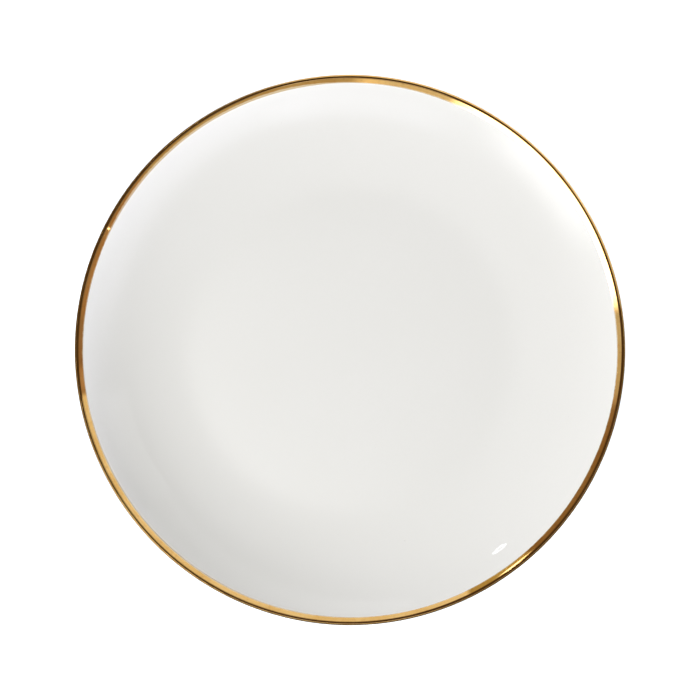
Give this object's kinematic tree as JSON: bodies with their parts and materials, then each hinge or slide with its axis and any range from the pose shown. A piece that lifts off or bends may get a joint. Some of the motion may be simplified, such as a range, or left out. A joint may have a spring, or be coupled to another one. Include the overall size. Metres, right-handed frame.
{
  "type": "dinner plate",
  "caption": "Round coupe dinner plate of white glazed bone china with a low crowned well, an upswept wall, a narrow gilt edge band and a foot ring.",
  "frame": {"origin": "on the table plane, below the middle of the plate, level with the foot ring's bearing face", "axes": "+Z up along the plate's axis of symmetry; +X and +Y run across the plate, and seen from above with +Y up, +X is to the right"},
  "size_m": [0.27, 0.27, 0.024],
  "materials": {
    "bone_china": "white fired bone china, unglazed and ground smooth on the foot",
    "clear_glaze": "high gloss clear glaze over the white body",
    "bright_gold": "bright fired gold, polished, with faint lines round the rim",
    "printed_gold": "fine printed gold line work"
  },
  "bodies": {
    "root": {"china_body": "bone_china", "outer_glaze": "clear_glaze", "recess_glaze": "clear_glaze", "rim_gold_band": "bright_gold", "backstamp": "printed_gold"}
  },
  "joints": []
}
